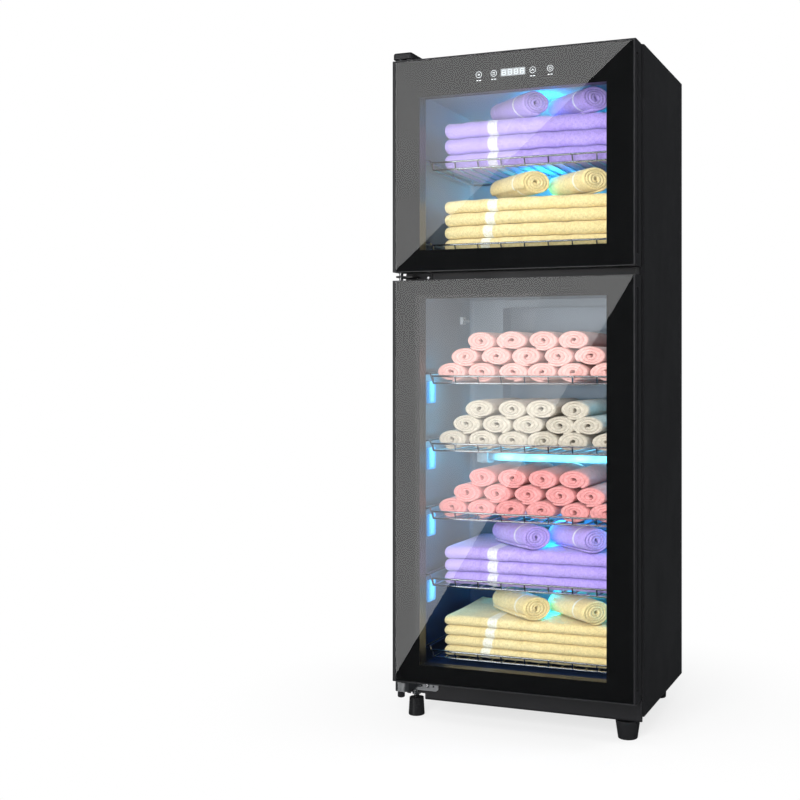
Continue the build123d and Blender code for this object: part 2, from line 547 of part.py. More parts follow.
def main():
    os.makedirs("parts", exist_ok=True)
    screws, rear_screws = hinge_screws(), cover_screws()
    sockets = [foot_socket(x) for x in FOOT_X]
    socket_holes = [rod((x, FOOT_DEPTH, 30), (x, FOOT_DEPTH, 90), 17.2) for x in FOOT_X]
    save("left_side_panel", side_panel(-1))
    save("right_side_panel", side_panel(1))
    save("top_panel", pierce(top_panel(), screws))
    save("back_panel", pierce(back_panel(), rear_screws))
    save("rear_cover", pierce(rear_cover(), rear_screws))
    save("base_pan", base_pan().cut(*socket_holes))
    save("foot_sockets", sockets)
    save("plinth_strip", pierce(plinth_strip(), screws))
    save("upper_liner", liner(UPPER_INNER))
    save("lower_liner", liner(LOWER_INNER))
    save("mullion", pierce(mullion(), screws))
    save("insulation", insulation())
    save("tray_ledges", tray_ledges())
    save("air_duct", air_duct())
    save("fan_housing", fan_housing())
    save("fan_rotor", fan_rotor())
    save("heating_element", heating_element())
    save("thermal_cutout", thermal_cutout())
    save("temperature_sensor", temperature_sensor())
    save("lamp_holders", [lamp_holder(side, level) for level in LAMP_LEVELS for side in (-1, 1)])
    save("uv_tubes", [uv_tube(level) for level in LAMP_LEVELS])
    save("lamp_ballasts", lamp_ballasts())
    save("led_modules", led_modules())
    save("control_board", control_board())
    save("power_inlet", power_inlet())
    save("cover_screws", rear_screws)
    save("top_hinge_plate", pierce(top_hinge_plate(), screws))
    save("top_hinge_pin", hinge_pin(UPPER_DOOR[1] - PIN_REACH, BODY_TOP + 3.4))
    save("top_hinge_cover", top_hinge_cover())
    save("middle_hinge_bracket", pierce(middle_hinge_bracket(), screws))
    save("middle_hinge_pin", hinge_pin(LOWER_DOOR[1] - PIN_REACH, UPPER_DOOR[0] + PIN_REACH))
    save("bottom_hinge_bracket", pierce(bottom_hinge_bracket(), screws))
    save("bottom_hinge_pin", hinge_pin(50.2, LOWER_DOOR[0] + PIN_REACH))
    save("bottom_pin_nut", bottom_pin_nut())
    save("hinge_screws", screws)
    save("front_left_foot", front_foot(FOOT_X[0], 28, 32, 5))
    save("front_right_foot", front_foot(FOOT_X[1], 46, 36, 0))
    save("rear_feet", rear_feet())
    tray = wire_tray()
    for name, floor in TRAY_FLOORS.items():
        save(name, Pos(0, 0, floor) * tray)
        load = folded_load(floor, *FOLDED[name]) if name in FOLDED else rolled_load(floor)
        save("towels_" + name, load)
    for name, door, glass, window in (
            ("upper_door", UPPER_DOOR, UPPER_GLASS, UPPER_WINDOW), ("lower_door", LOWER_DOOR, LOWER_GLASS, LOWER_WINDOW)):
        save(name + "_glass", door_glass(glass))
        frame = door_frame(door, glass, window)
        save(name + "_frame", frame - key_pocket() if door == UPPER_DOOR else frame)
        save(name + "_gasket", door_gasket(door))
    save("touch_board", touch_board())
    save("digit_display", digit_display())


main()
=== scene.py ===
"""Looks of the hot towel cabinet: its finishes, towels, lamps, printed glass, lights and camera."""
import json
import math

import bpy
import numpy as np
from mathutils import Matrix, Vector


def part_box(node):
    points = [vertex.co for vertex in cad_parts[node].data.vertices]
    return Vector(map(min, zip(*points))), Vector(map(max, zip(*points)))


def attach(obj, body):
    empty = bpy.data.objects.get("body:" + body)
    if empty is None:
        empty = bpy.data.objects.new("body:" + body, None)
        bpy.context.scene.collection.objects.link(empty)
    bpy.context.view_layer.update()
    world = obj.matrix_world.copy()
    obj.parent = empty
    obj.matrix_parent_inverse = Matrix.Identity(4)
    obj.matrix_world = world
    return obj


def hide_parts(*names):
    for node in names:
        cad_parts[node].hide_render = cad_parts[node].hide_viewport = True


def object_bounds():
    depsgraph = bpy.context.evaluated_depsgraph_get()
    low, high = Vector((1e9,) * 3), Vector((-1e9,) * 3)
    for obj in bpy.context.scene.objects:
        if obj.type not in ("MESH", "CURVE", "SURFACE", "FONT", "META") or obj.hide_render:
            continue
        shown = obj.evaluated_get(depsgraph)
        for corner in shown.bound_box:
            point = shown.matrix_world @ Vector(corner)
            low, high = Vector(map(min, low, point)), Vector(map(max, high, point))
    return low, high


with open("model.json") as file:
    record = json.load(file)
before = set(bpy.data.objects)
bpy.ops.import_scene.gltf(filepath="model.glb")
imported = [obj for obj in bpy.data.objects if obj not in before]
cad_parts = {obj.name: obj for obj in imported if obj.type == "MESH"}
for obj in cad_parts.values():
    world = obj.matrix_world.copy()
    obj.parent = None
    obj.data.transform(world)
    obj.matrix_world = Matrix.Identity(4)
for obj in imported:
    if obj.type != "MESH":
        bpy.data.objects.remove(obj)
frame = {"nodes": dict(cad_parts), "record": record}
cad_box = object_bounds()

RANDOM = np.random.default_rng(11)
MM = 0.001
NODES = frame["nodes"]
FLOOR_Z = cad_box[0].z
FRONT_Y = cad_box[0].y


# ---------------------------------------------------------------- node helpers

def add(tree, kind, settings=None, **inputs):
    """A node with its settings, and its inputs set or linked by name."""
    node = tree.nodes.new(kind)
    for key, value in (settings or {}).items():
        setattr(node, key, value)
    for key, value in inputs.items():
        wire(tree, value, node.inputs[key.replace("_", " ")])
    return node


def wire(tree, value, socket):
    """Links a socket's source to it, or sets its value."""
    if isinstance(value, bpy.types.NodeSocket):
        tree.links.new(value, socket)
    else:
        socket.default_value = value


def calc(tree, operation, first, second=0.0, clamp=False):
    """A Math node's result."""
    node = add(tree, "ShaderNodeMath", {"operation": operation, "use_clamp": clamp})
    wire(tree, first, node.inputs[0])
    wire(tree, second, node.inputs[1])
    return node.outputs[0]


def blend_colour(tree, share, first, second):
    """first where share is 0, second where it is 1."""
    node = add(tree, "ShaderNodeMix", {"data_type": "RGBA"})
    wire(tree, share, node.inputs[0])
    wire(tree, first, node.inputs[6])
    wire(tree, second, node.inputs[7])
    return node.outputs[2]


def spread(tree, value, low, high, out_low=0.0, out_high=1.0):
    """value taken from the range low to high onto out_low to out_high, smoothly."""
    node = add(tree, "ShaderNodeMapRange", {"interpolation_type": "SMOOTHSTEP"})
    for index, number in enumerate((value, low, high, out_low, out_high)):
        wire(tree, number, node.inputs[index])
    return node.outputs[0]


def make_group(name, inputs, outputs):
    """An empty shader node group with named inputs, given as (name, kind, value), and named outputs."""
    tree = bpy.data.node_groups.new(name, "ShaderNodeTree")
    for label, kind, value in inputs:
        socket = tree.interface.new_socket(label, in_out="INPUT", socket_type="NodeSocket" + kind)
        if value is not None:
            socket.default_value = value
    for label, kind in outputs:
        tree.interface.new_socket(label, in_out="OUTPUT", socket_type="NodeSocket" + kind)
    return tree, tree.nodes.new("NodeGroupInput").outputs, tree.nodes.new("NodeGroupOutput").inputs


def use_group(tree, group, **inputs):
    """A group placed in a material with its own values."""
    node = tree.nodes.new("ShaderNodeGroup")
    node.node_tree = group
    for key, value in inputs.items():
        wire(tree, value, node.inputs[key.replace("_", " ")])
    return node.outputs


def grain_group():
    """Fine surface grain with a slow smear over it: Height for bump, Smear to vary the gloss."""
    tree, given, out = make_group(
        "surface_grain",
        [("Vector", "Vector", None), ("Grain", "Float", 900.0), ("Smear Size", "Float", 6.0)],
        [("Height", "Float"), ("Smear", "Float")])
    fine = add(tree, "ShaderNodeTexNoise", Vector=given["Vector"], Scale=given["Grain"], Detail=2.0)
    broad = add(tree, "ShaderNodeTexNoise", Vector=given["Vector"], Scale=given["Smear Size"], Detail=5.0)
    tree.links.new(fine.outputs["Fac"], out["Height"])
    tree.links.new(broad.outputs["Fac"], out["Smear"])
    return tree


def edge_group():
    """Edge, which is 1 along sharp outside edges, from how far a rounded normal turns from the true one."""
    tree, given, out = make_group("edge_light", [("Radius", "Float", 0.002)], [("Edge", "Float")])
    rounded = add(tree, "ShaderNodeBevel", {"samples": 4}, Radius=given["Radius"])
    true_normal = add(tree, "ShaderNodeNewGeometry").outputs["Normal"]
    turn = add(tree, "ShaderNodeVectorMath", {"operation": "DOT_PRODUCT"})
    tree.links.new(rounded.outputs[0], turn.inputs[0])
    tree.links.new(true_normal, turn.inputs[1])
    tree.links.new(spread(tree, turn.outputs["Value"], 0.99, 0.80), out["Edge"])
    return tree


def terry_group():
    """Looped pile on a cloth laid out in metres: Height of the loops, Shade between, Drift of dye."""
    tree, given, out = make_group(
        "terry_pile",
        [("Vector", "Vector", None), ("Loops", "Float", 620.0)],
        [("Height", "Float"), ("Shade", "Float"), ("Drift", "Float")])
    loops = add(tree, "ShaderNodeTexVoronoi", Vector=given["Vector"], Scale=given["Loops"])
    tufts = add(tree, "ShaderNodeTexNoise", Vector=given["Vector"], Scale=150.0, Detail=6.0, Roughness=0.7)
    drift = add(tree, "ShaderNodeTexNoise", Vector=given["Vector"], Scale=22.0, Detail=3.0)
    hollows = calc(tree, "MULTIPLY", loops.outputs["Distance"], 0.5)
    rise = calc(tree, "SUBTRACT", tufts.outputs["Fac"], hollows)
    tree.links.new(rise, out["Height"])
    tree.links.new(spread(tree, rise, 0.0, 0.5), out["Shade"])
    tree.links.new(drift.outputs["Fac"], out["Drift"])
    return tree


GRAIN = grain_group()
EDGE = edge_group()
TERRY = terry_group()


def start_material(name):
    """A new material's node tree, its Principled shader and its output."""
    material = bpy.data.materials.new(name)
    material.use_nodes = True
    tree = material.node_tree
    return material, tree, tree.nodes["Principled BSDF"], tree.nodes["Material Output"]


def object_place(tree):
    return add(tree, "ShaderNodeTexCoord").outputs["Object"]


def set_bump(tree, shader, height, distance, strength=1.0):
    bump = add(tree, "ShaderNodeBump", Height=height, Distance=distance, Strength=strength)
    tree.links.new(bump.outputs[0], shader.inputs["Normal"])


# ------------------------------------------------------------------- finishes

GLOSS_DRIFT = 0.08


def hard_finish(name, colour, gloss, metallic=0.0, grain=900.0, depth=0.00005, edge=None,
                edge_wear_and_highlight=(0.0, 0.0, 0.0), tint=0.06):
    """A hard finish: grain, a gloss that varies over the surface, tone drift, and outside edges made lighter,
    partly as wear and partly as a painted highlight.
    """
    material, tree, shader, _ = start_material(name)
    place = object_place(tree)
    grains = use_group(tree, GRAIN, Vector=place, Grain=grain, Smear_Size=5.0)
    lighter = [min(1.0, c * (1 + 4 * tint)) for c in colour]
    base = blend_colour(tree, spread(tree, grains["Smear"], 0.35, 0.7), (*colour, 1), (*lighter, 1))
    # Outside edges take a lighter colour: partly wear, partly a painted highlight along the edge.
    if edge:
        rim_wear_and_highlight = use_group(tree, EDGE, Radius=edge)["Edge"]
        base = blend_colour(tree, rim_wear_and_highlight, base, (*edge_wear_and_highlight, 1))
    wire(tree, base, shader.inputs["Base Color"])
    wire(tree, spread(tree, grains["Smear"], 0.3, 0.7, gloss - GLOSS_DRIFT, gloss + GLOSS_DRIFT),
         shader.inputs["Roughness"])
    shader.inputs["Metallic"].default_value = metallic
    set_bump(tree, shader, grains["Height"], depth)
    return material


def clear_glass():
    """Clear float glass: see-through, with a mirror layer on its near side, stronger at grazing views."""
    material, tree, shader, output = start_material("door_glass")
    shader.inputs["Base Color"].default_value = (0.98, 0.98, 0.98, 1)
    shader.inputs["Metallic"].default_value = 1.0
    shader.inputs["Roughness"].default_value = 0.0
    smear = use_group(tree, GRAIN, Vector=object_place(tree), Grain=900.0, Smear_Size=7.0)["Smear"]
    wiped = spread(tree, smear, 0.35, 0.75, 1.0, 0.93)
    through = add(tree, "ShaderNodeBsdfTransparent", Color=(0.972, 0.984, 0.98, 1))
    mirror = add(tree, "ShaderNodeFresnel", IOR=1.5).outputs[0]
    near_side = calc(tree, "SUBTRACT", 1.0, add(tree, "ShaderNodeNewGeometry").outputs["Backfacing"])
    mixed = add(tree, "ShaderNodeMixShader")
    wire(tree, calc(tree, "MULTIPLY", calc(tree, "MULTIPLY", mirror, wiped), near_side), mixed.inputs[0])
    tree.links.new(through.outputs[0], mixed.inputs[1])
    tree.links.new(shader.outputs[0], mixed.inputs[2])
    tree.links.new(mixed.outputs[0], output.inputs["Surface"])
    return material


def terry_finish(name, colour, stripe, deep):
    """Terry cloth: looped pile, dye drift, and a white stripe and darker end band where it has them."""
    material, tree, shader, _ = start_material(name)
    cloth = add(tree, "ShaderNodeUVMap", {"uv_map": "cloth"}).outputs[0]
    band = add(tree, "ShaderNodeUVMap", {"uv_map": "band"}).outputs[0]
    pile = use_group(tree, TERRY, Vector=cloth)
    split = add(tree, "ShaderNodeSeparateXYZ", Vector=band)
    flat_stripe = spread(tree, calc(tree, "ABSOLUTE", split.outputs["X"]), 1.12, 0.94)
    end_band = spread(tree, split.outputs["Y"], 1.04, 0.96)
    dyed = blend_colour(tree, spread(tree, pile["Drift"], 0.3, 0.7), (*colour, 1), (*deep, 1))
    dyed = blend_colour(tree, calc(tree, "MULTIPLY", end_band, 0.45), dyed, (*deep, 1))
    dyed = blend_colour(tree, flat_stripe, dyed, (*stripe, 1))
    shadow = blend_colour(tree, 0.38, dyed, (*(0.35 * c for c in deep), 1))
    wire(tree, blend_colour(tree, pile["Shade"], shadow, dyed), shader.inputs["Base Color"])
    shader.inputs["Roughness"].default_value = 0.95
    shader.inputs["Sheen Weight"].default_value = 0.35
    shader.inputs["Sheen Roughness"].default_value = 0.5
    shader.inputs["Sheen Tint"].default_value = (*stripe, 1)
    set_bump(tree, shader, pile["Height"], 0.0012, 0.7)
    return material


def tube_finish():
    """A lit ultraviolet tube: bright cyan with duller ends and a faint mottle in its coating."""
    material, tree, shader, _ = start_material("uv_tube")
    place = object_place(tree)
    along = calc(tree, "ABSOLUTE", add(tree, "ShaderNodeSeparateXYZ", Vector=place).outputs["X"])
    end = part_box("uv_tubes")[1].x
    lit = spread(tree, along, end - 0.012, end - 0.045)
    mottle = use_group(tree, GRAIN, Vector=place, Grain=300.0, Smear_Size=60.0)["Smear"]
    core = blend_colour(tree, mottle, (0.05, 0.62, 1.0, 1), (0.35, 0.92, 1.0, 1))
    colour = blend_colour(tree, lit, (0.02, 0.05, 0.09, 1), core)
    wire(tree, colour, shader.inputs["Emission Color"])
    shader.inputs["Emission Strength"].default_value = 1.5
    wire(tree, blend_colour(tree, lit, (0.3, 0.32, 0.35, 1), (0.5, 0.8, 0.9, 1)), shader.inputs["Base Color"])
    shader.inputs["Roughness"].default_value = 0.15
    return material


def lamp_module_finish():
    """A potted lamp module: hot at its top where the emitters are, fading down its face."""
    material, tree, shader, _ = start_material("lamp_module")
    place = add(tree, "ShaderNodeSeparateXYZ", Vector=add(
        tree, "ShaderNodeUVMap", {"uv_map": "cloth"}).outputs[0])
    middle = spread(tree, calc(tree, "ABSOLUTE", place.outputs["X"]), 1.0, 0.1)
    hot = calc(tree, "MULTIPLY", spread(tree, place.outputs["Y"], 0.0, 0.85), middle)
    ripple = use_group(tree, GRAIN, Vector=object_place(tree), Grain=500.0, Smear_Size=90.0)["Smear"]
    glow = blend_colour(tree, hot, (0.01, 0.10, 0.30, 1), (0.30, 0.86, 1.0, 1))
    glow = blend_colour(tree, calc(tree, "MULTIPLY", ripple, 0.35), glow, (0.0, 0.35, 0.9, 1))
    wire(tree, glow, shader.inputs["Emission Color"])
    shader.inputs["Emission Strength"].default_value = 1.15
    shader.inputs["Base Color"].default_value = (0.05, 0.3, 0.5, 1)
    shader.inputs["Roughness"].default_value = 0.3
    return material


def circuit_finish():
    """Green solder mask with fine copper runs under it."""
    material, tree, shader, _ = start_material("circuit_board")
    place = object_place(tree)
    runs = add(tree, "ShaderNodeTexBrick", {"offset": 0.37}, Vector=place, Scale=55.0, Mortar_Size=0.03,
               Color1=(0.01, 0.10, 0.04, 1), Color2=(0.015, 0.14, 0.055, 1), Mortar=(0.05, 0.30, 0.10, 1))
    grains = use_group(tree, GRAIN, Vector=place, Grain=700.0, Smear_Size=30.0)
    wire(tree, runs.outputs["Color"], shader.inputs["Base Color"])
    wire(tree, spread(tree, grains["Smear"], 0.3, 0.7, 0.25, 0.45), shader.inputs["Roughness"])
    set_bump(tree, shader, runs.outputs["Fac"], 0.0001)
    return material


def liner_finish():
    """Moulded liner, pale grey above and darkening to navy at the foot as painted shade, with fine grain and
    wipe marks.
    """
    material, tree, shader, _ = start_material("liner_wall")
    place = object_place(tree)
    height = add(tree, "ShaderNodeSeparateXYZ", Vector=place).outputs["Z"]
    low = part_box("lower_liner")[0].z
    grains = use_group(tree, GRAIN, Vector=place, Grain=700.0, Smear_Size=5.0)
    tone = blend_colour(tree, grains["Smear"], (0.30, 0.35, 0.42, 1), (0.40, 0.45, 0.51, 1))
    # Painted shade: the wall colour darkens to navy over the lowest 0.62 m, from the foot of the lower liner
    # up.
    wire(tree, blend_colour(tree, spread(tree, height, low, low + 0.62), (0.015, 0.035, 0.10, 1), tone),
         shader.inputs["Base Color"])
    wire(tree, spread(tree, grains["Smear"], 0.3, 0.7, 0.30, 0.44), shader.inputs["Roughness"])
    set_bump(tree, shader, grains["Height"], 0.00004)
    return material


def foam_finish():
    """Poured foam with open cells."""
    material, tree, shader, _ = start_material("poured_foam")
    place = object_place(tree)
    cells = add(tree, "ShaderNodeTexVoronoi", Vector=place, Scale=260.0)
    shade = spread(tree, cells.outputs["Distance"], 0.0, 0.7)
    wire(tree, blend_colour(tree, shade, (0.45, 0.38, 0.22, 1), (0.82, 0.74, 0.52, 1)),
         shader.inputs["Base Color"])
    shader.inputs["Roughness"].default_value = 0.95
    set_bump(tree, shader, shade, 0.001)
    return material


def heater_finish():
    """A steel rod heat-tinted from straw to blue along its bends."""
    material, tree, shader, _ = start_material("heater_sheath")
    place = object_place(tree)
    heat = add(tree, "ShaderNodeTexNoise", Vector=place, Scale=18.0, Detail=3.0).outputs["Fac"]
    wire(tree, blend_colour(tree, spread(tree, heat, 0.35, 0.65), (0.35, 0.24, 0.12, 1),
                            (0.16, 0.18, 0.28, 1)), shader.inputs["Base Color"])
    grains = use_group(tree, GRAIN, Vector=place, Grain=1500.0, Smear_Size=40.0)
    wire(tree, spread(tree, grains["Smear"], 0.3, 0.7, 0.3, 0.5), shader.inputs["Roughness"])
    shader.inputs["Metallic"].default_value = 1.0
    set_bump(tree, shader, grains["Height"], 0.00003)
    return material


def printed_black():
    """The ceramic print on the back of the glass: deep black with faint speckle."""
    material, tree, shader, _ = start_material("printed_black")
    grains = use_group(tree, GRAIN, Vector=object_place(tree), Grain=1200.0, Smear_Size=9.0)
    wire(tree, blend_colour(tree, grains["Smear"], (0.0015, 0.0015, 0.0017, 1), (0.003, 0.003, 0.0032, 1)),
         shader.inputs["Base Color"])
    shader.inputs["Roughness"].default_value = 0.6
    shader.inputs["Specular IOR Level"].default_value = 0.05
    return material


def lit_mark(name, colour, strength):
    """A lit legend or digit, slightly uneven over its area."""
    material, tree, shader, _ = start_material(name)
    grains = use_group(tree, GRAIN, Vector=object_place(tree), Grain=900.0, Smear_Size=120.0)
    dim = [0.75 * c for c in colour]
    wire(tree, blend_colour(tree, grains["Smear"], (*dim, 1), (*colour, 1)), shader.inputs["Emission Color"])
    shader.inputs["Emission Strength"].default_value = strength
    shader.inputs["Base Color"].default_value = (*dim, 1)
    shader.inputs["Roughness"].default_value = 0.5
    return material


FINISHES = {
    "black_sheet": hard_finish("black_sheet", (0.012, 0.012, 0.013), 0.42, grain=1400.0, depth=0.00006,
                               edge=0.0015, edge_wear_and_highlight=(0.05, 0.05, 0.052)),
    "black_moulding": hard_finish("black_moulding", (0.010, 0.010, 0.011), 0.36, grain=1800.0, depth=0.00003,
                                  edge=0.0012, edge_wear_and_highlight=(0.045, 0.045, 0.048)),
    "door_glass": clear_glass(),
    "liner_wall": liner_finish(),
    "foam": foam_finish(),
    "chrome_wire": hard_finish("chrome_wire", (0.62, 0.64, 0.67), 0.16, metallic=1.0, grain=2500.0,
                               depth=0.00001),
    "plated_steel": hard_finish("plated_steel", (0.44, 0.45, 0.46), 0.34, metallic=1.0, grain=600.0,
                                depth=0.00003, edge=0.001, edge_wear_and_highlight=(0.7, 0.7, 0.7), tint=0.12),
    "bright_screw": hard_finish("bright_screw", (0.66, 0.66, 0.67), 0.22, metallic=1.0, grain=1800.0,
                                depth=0.00002, edge=0.0004, edge_wear_and_highlight=(0.85, 0.85, 0.85)),
    "white_moulding": hard_finish("white_moulding", (0.72, 0.75, 0.78), 0.30, grain=1500.0, depth=0.00002,
                                  edge=0.0008, edge_wear_and_highlight=(0.85, 0.87, 0.9)),
    "seal_rubber": hard_finish("seal_rubber", (0.012, 0.012, 0.012), 0.72, grain=1100.0, depth=0.00008),
    "uv_glass": tube_finish(),
    "led_potting": lamp_module_finish(),
    "circuit_board": circuit_finish(),
    "display_face": lit_mark("display_face", (0.30, 0.31, 0.33), 0.22),
    "duct_sheet": hard_finish("duct_sheet", (0.27, 0.31, 0.37), 0.34, metallic=0.5, grain=500.0,
                              depth=0.00003, edge=0.0015, edge_wear_and_highlight=(0.25, 0.3, 0.35)),
    "heater_sheath": heater_finish(),
    "lavender_terry": terry_finish("lavender_terry", (0.56, 0.44, 0.90), (0.86, 0.84, 0.95),
                                   (0.45, 0.33, 0.82)),
    "cream_terry": terry_finish("cream_terry", (0.93, 0.78, 0.44), (0.97, 0.94, 0.84), (0.86, 0.68, 0.33)),
    "pink_terry": terry_finish("pink_terry", (0.92, 0.56, 0.53), (0.95, 0.85, 0.84), (0.86, 0.46, 0.43)),
    "beige_terry": terry_finish("beige_terry", (0.68, 0.60, 0.51), (0.85, 0.82, 0.78), (0.57, 0.50, 0.42)),
    "rose_terry": terry_finish("rose_terry", (0.88, 0.40, 0.40), (0.95, 0.80, 0.80), (0.79, 0.31, 0.31)),
}
PRINT = printed_black()
LIT_WHITE = lit_mark("lit_legend", (0.80, 0.82, 0.85), 1.0)
LIT_DIGIT = lit_mark("lit_digit", (0.62, 0.64, 0.68), 0.7)

for part in frame["record"]["subparts"]:
    NODES[part["node"]].material_slots[0].material = FINISHES[part["material_slot"]]


# ---------------------------------------------------------------- mesh helpers

def grid(rows, cols, closed_rows=False, closed_cols=False):
    """Quads over a grid of points, with each corner's own row and column before any wrap."""
    row = np.arange(rows if closed_rows else rows - 1)
    col = np.arange(cols if closed_cols else cols - 1)
    row, col = (a.ravel() for a in np.meshgrid(row, col, indexing="ij"))
    corner_row = np.stack([row, row, row + 1, row + 1], 1)
    corner_col = np.stack([col, col + 1, col + 1, col], 1)
    return (corner_row % rows) * cols + corner_col % cols, corner_row, corner_col


def outward(points, faces):
    """True if the faces of a closed shape point out, by the sign of the volume they enclose."""
    middle = points.mean(0)
    a, b, c, d = (points[faces[:, i]] - middle for i in range(4))
    return (np.einsum("ij,ij->i", a, np.cross(b, c)) + np.einsum("ij,ij->i", a, np.cross(c, d))).sum() > 0


def put(name, points, quads, body, material, caps=(), maps=None, smooth=True):
    """Makes one piece from points, quads and end caps. maps holds UV values for every corner of the quads."""
    points = np.asarray(points, float).reshape(-1, 3)
    turned = not outward(points, quads)
    faces = [*quads.tolist(), *[list(c) for c in caps]]
    if turned:
        faces = [face[::-1] for face in faces]
    mesh = bpy.data.meshes.new(name)
    mesh.from_pydata(points.tolist(), [], faces)
    cap_corners = sum(len(c) for c in caps)
    for label, values in (maps or {}).items():
        values = values[:, ::-1] if turned else values
        layer = mesh.uv_layers.new(name=label)
        flat = np.concatenate([values.reshape(-1, 2), np.tile(values.reshape(-1, 2)[:1], (cap_corners, 1))])
        layer.data.foreach_set("uv", flat.ravel())
    mesh.polygons.foreach_set("use_smooth", np.full(len(faces), smooth))
    mesh.materials.append(material)
    mesh.update()
    piece = bpy.data.objects.new(name, mesh)
    bpy.context.scene.collection.objects.link(piece)
    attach(piece, body)
    return piece


def cloth_outline(width, thick, along, round_end=3):
    """A cloth cut across: two long sides joined by half circles, as offsets along its width and thickness."""
    radius = thick / 2
    side = np.linspace(-width / 2 + radius, width / 2 - radius, along)
    turn = np.linspace(-math.pi / 2, math.pi / 2, round_end + 2)[1:-1]
    end = width / 2 - radius
    across = np.concatenate([side, end + radius * np.cos(turn), side[::-1], -end - radius * np.cos(turn)])
    through = np.concatenate([np.full(along, -radius), radius * np.sin(turn),
                              np.full(along, radius), -radius * np.sin(turn)])
    return across, through


def path_lengths(path):
    return np.concatenate([[0], np.cumsum(np.linalg.norm(np.diff(path, axis=0), axis=1))])


def cloth_grid(path, swell, outline, origin, basis, shape):
    """Points of a cloth whose cut-across outline is carried along a flat path.

    Each point is the path's point, moved along the path's normal by the outline's thickness offset times that
    row's swell, and along the axis by its width offset; shape(path, across, length) gives each row's width
    scale and the extra moves (plane x, plane y, axis) that crumple it. The path's two ends are pinched thin.
    """
    across, through = outline
    slope = np.gradient(path, axis=0)
    slope /= np.linalg.norm(slope, axis=1)[:, None]
    normal = np.stack([-slope[:, 1], slope[:, 0]], 1)
    length = path_lengths(path)
    pinch = np.clip(np.minimum(length, length[-1] - length) / (0.8 * through.max()), 0.35, 1.0) ** 0.5
    scale, moves = shape(path, across, length)
    offset = (pinch * swell)[:, None] * through[None, :]
    flat = path[:, None, :] + normal[:, None, :] * offset[..., None] + moves[..., :2]
    axis = scale[:, None] * across[None, :] + moves[..., 2]
    first, second, third = (np.array(v, float) for v in basis)
    in_plane = np.array(origin, float) + flat[..., :1] * first + flat[..., 1:] * second
    return in_plane + axis[..., None] * third, length


def put_cloth(name, path, swell, outline, origin, basis, shape, body, slot, band, tray):
    """One towel as a closed sheet, with its flat cut worked out from the path, and its CAD load replaced."""
    points, length = cloth_grid(path, swell, outline, origin, basis, shape)
    rows, cols = points.shape[:2]
    quads, corner_row, corner_col = grid(rows, cols, closed_cols=True)
    across = outline[0]
    width_at = across[corner_col % cols]
    along_at = length[corner_row]
    centre, half, end_band = band
    maps = {
        "cloth": np.stack([width_at, along_at], -1),
        "band": np.stack([(width_at - centre) / half, (across.max() - width_at) / end_band], -1),
    }
    first_row = list(range(cols))
    caps = [first_row[::-1], [(rows - 1) * cols + i for i in first_row]]
    piece = put(name, points, quads, body, FINISHES[slot], caps, maps)
    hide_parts("towels_" + tray)
    return piece


# --------------------------------------------------------------------- towels

NO_BAND = (1.0, 0.01, 0.001)
PLY_GAP = 0.93
TOP_ROLL = (0.070, 0.050, 0.128)
TOP_ROLL_TURN = math.radians(50)
ROLL_CLOTH = 4.6 * MM
STRIPE_HALF = 9.5 * MM
GAPS = []


def roll_path(wide, high, cloth, phase, hand, squash, rows):
    """A rolled cloth seen from its end, and how much each point of it is swollen.

    It is a spiral on an oval that rounds off to a small circle in the middle, with as many turns as the
    height holds. Each turn comes in by one cloth thickness at the top and bottom and by more at the sides,
    where the cloth swells to fill the turn. squash above 0 draws the outer turn towards a lozenge, as rolls
    press into each other.
    """
    core = 0.75 * cloth
    half_high = high / 2 - cloth / 2
    turns = (half_high - core) / (cloth * 1.02)
    side_share = 0.49 / turns
    half_wide = (wide / 2 + side_share * core) / (1 + side_share)
    share = np.linspace(0, 1, rows)
    angle = hand * 2 * math.pi * turns * share + phase
    power = 1 + squash * (1 - share)
    cos, sin = np.cos(angle), np.sin(angle)
    path = np.stack([(half_wide + (core - half_wide) * share) * np.sign(cos) * np.abs(cos) ** power,
                     (half_high + (core - half_high) * share) * np.sign(sin) * np.abs(sin) ** power], 1)
    side_pitch = (half_wide - core) / turns / cloth
    return path, 0.98 * (1 + (side_pitch - 1) * cos ** 2)


def roll_shape(slip, waves):
    """How a roll strays from a plain one: its inner turns slip out along the axis, its skin ripples,
    and it narrows a little towards both ends."""
    def shape(path, across, length):
        share = (length / length[-1])[:, None]
        place = across[None, :] / across.max()
        ripple = sum(size * np.sin(a * share + b * place + c) for size, a, b, c in waves)
        narrow = -0.035 * np.abs(place) ** 3 + ripple
        moves = np.empty((len(path), len(across), 3))
        moves[..., :2] = path[:, None, :] * narrow[..., None]
        moves[..., 2] = slip * share ** 1.5 + 0.0006 * np.sin(19 * share + 5 * place)
        return np.ones(len(path)), moves
    return shape


def random_waves(count, size):
    return [(size * RANDOM.uniform(0.4, 1.0), RANDOM.uniform(6, 30), RANDOM.uniform(-3, 3),
             RANDOM.uniform(0, 6.3)) for _ in range(count)]


def put_roll(name, centre, size, heading, squash, body, slot, band, tray, rows=104, cols=11):
    """A rolled towel of size (wide, high, long). Its front end faces the heading, an angle about Z."""
    wide, high, long = size
    axis = (math.sin(heading), -math.cos(heading), 0)
    side = (math.cos(heading), math.sin(heading), 0)
    path, swell = roll_path(wide, high, ROLL_CLOTH, RANDOM.uniform(-2.6, -0.9), RANDOM.choice([-1, 1]),
                            squash, rows)
    outline = cloth_outline(long, ROLL_CLOTH, cols)
    shape = roll_shape(RANDOM.uniform(-0.001, 0.003), random_waves(3, 0.010))
    return put_cloth(name, path, swell, outline, centre, (side, (0, 0, 1), axis), shape, body, slot, band,
                     tray)


